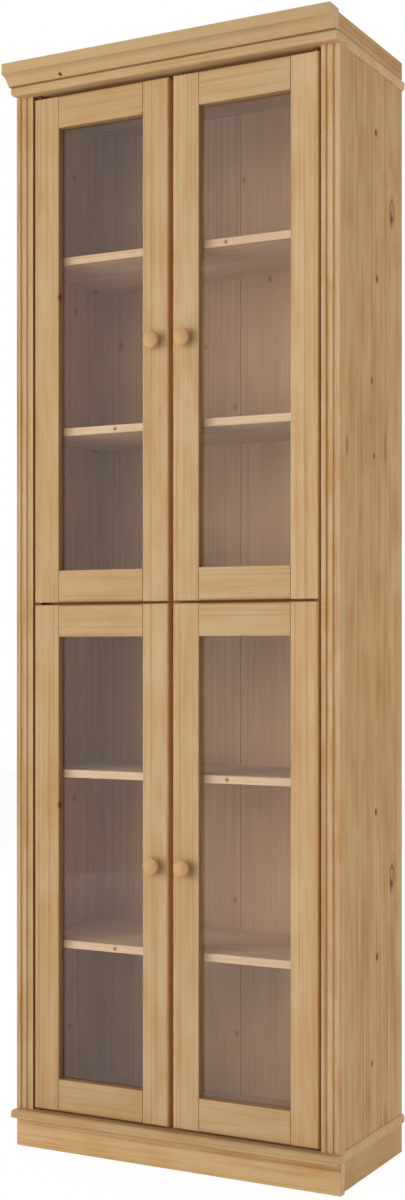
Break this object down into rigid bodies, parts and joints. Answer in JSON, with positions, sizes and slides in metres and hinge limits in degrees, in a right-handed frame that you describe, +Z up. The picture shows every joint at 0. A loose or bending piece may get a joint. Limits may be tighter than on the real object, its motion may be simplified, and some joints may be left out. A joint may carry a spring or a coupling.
{
  "type": "bookcase with glass doors",
  "caption": "Tall narrow pine bookcase with stacked pairs of framed glass doors, fluted pilasters, a cove crown and a plain plinth.",
  "frame": {"origin": "on the floor, in the middle of the outline seen from above", "axes": "+Z up, +Y towards the back, +X to the right seen from the front"},
  "size_m": [0.724, 0.376, 2.2],
  "materials": {
    "pine_upright": "clear lacquered pine, grain upright",
    "pine_cross": "clear lacquered pine, grain from side to side",
    "pine_deep": "clear lacquered pine, grain from front to back",
    "pine_turned": "clear lacquered turned pine",
    "glass": "clear float glass",
    "steel": "zinc-plated steel",
    "bronzed_steel": "dark bronzed steel",
    "brass": "plain brass",
    "catch_plastic": "brown moulded plastic"
  },
  "bodies": {
    "carcass": {"side_panel_left": "pine_upright", "side_panel_right": "pine_upright", "top_board": "pine_cross", "bottom_board": "pine_cross", "middle_shelf": "pine_cross", "shelf_1": "pine_cross", "shelf_2": "pine_cross", "shelf_3": "pine_cross", "shelf_4": "pine_cross", "shelf_pins": "steel", "back_panel_left": "pine_upright", "back_panel_right": "pine_upright", "pilaster_left": "pine_upright", "pilaster_right": "pine_upright", "plinth_front": "pine_cross", "plinth_side_left": "pine_deep", "plinth_side_right": "pine_deep", "plinth_rear": "pine_cross", "crown_moulding": "pine_cross", "crown_side_left": "pine_deep", "crown_side_right": "pine_deep", "carcass_screws": "steel", "door_pivots": "bronzed_steel", "door_catches": "catch_plastic"},
    "upper_left_door": {"upper_left_hinge_stile": "pine_upright", "upper_left_closing_stile": "pine_upright", "upper_left_top_rail": "pine_cross", "upper_left_bottom_rail": "pine_cross", "upper_left_glass": "glass", "upper_left_beads": "pine_upright", "upper_left_knob": "pine_turned", "upper_left_bushes": "brass", "upper_left_strike": "steel"},
    "upper_right_door": {"upper_right_hinge_stile": "pine_upright", "upper_right_closing_stile": "pine_upright", "upper_right_top_rail": "pine_cross", "upper_right_bottom_rail": "pine_cross", "upper_right_glass": "glass", "upper_right_beads": "pine_upright", "upper_right_knob": "pine_turned", "upper_right_bushes": "brass", "upper_right_strike": "steel"},
    "lower_left_door": {"lower_left_hinge_stile": "pine_upright", "lower_left_closing_stile": "pine_upright", "lower_left_top_rail": "pine_cross", "lower_left_bottom_rail": "pine_cross", "lower_left_glass": "glass", "lower_left_beads": "pine_upright", "lower_left_knob": "pine_turned", "lower_left_bushes": "brass", "lower_left_strike": "steel"},
    "lower_right_door": {"lower_right_hinge_stile": "pine_upright", "lower_right_closing_stile": "pine_upright", "lower_right_top_rail": "pine_cross", "lower_right_bottom_rail": "pine_cross", "lower_right_glass": "glass", "lower_right_beads": "pine_upright", "lower_right_knob": "pine_turned", "lower_right_bushes": "brass", "lower_right_strike": "steel"}
  },
  "joints": [
    {"name": "upper_left_hinge", "type": "hinge", "parent": "carcass", "child": "upper_left_door", "pos_m": [-0.308, -0.126, 1.62225], "axis": [0, 0, -1], "range_deg": [0, 100]},
    {"name": "upper_right_hinge", "type": "hinge", "parent": "carcass", "child": "upper_right_door", "pos_m": [0.308, -0.126, 1.62225], "axis": [0, 0, 1], "range_deg": [0, 100]},
    {"name": "lower_left_hinge", "type": "hinge", "parent": "carcass", "child": "lower_left_door", "pos_m": [-0.308, -0.126, 0.59325], "axis": [0, 0, -1], "range_deg": [0, 100]},
    {"name": "lower_right_hinge", "type": "hinge", "parent": "carcass", "child": "lower_right_door", "pos_m": [0.308, -0.126, 0.59325], "axis": [0, 0, 1], "range_deg": [0, 100]}
  ]
}
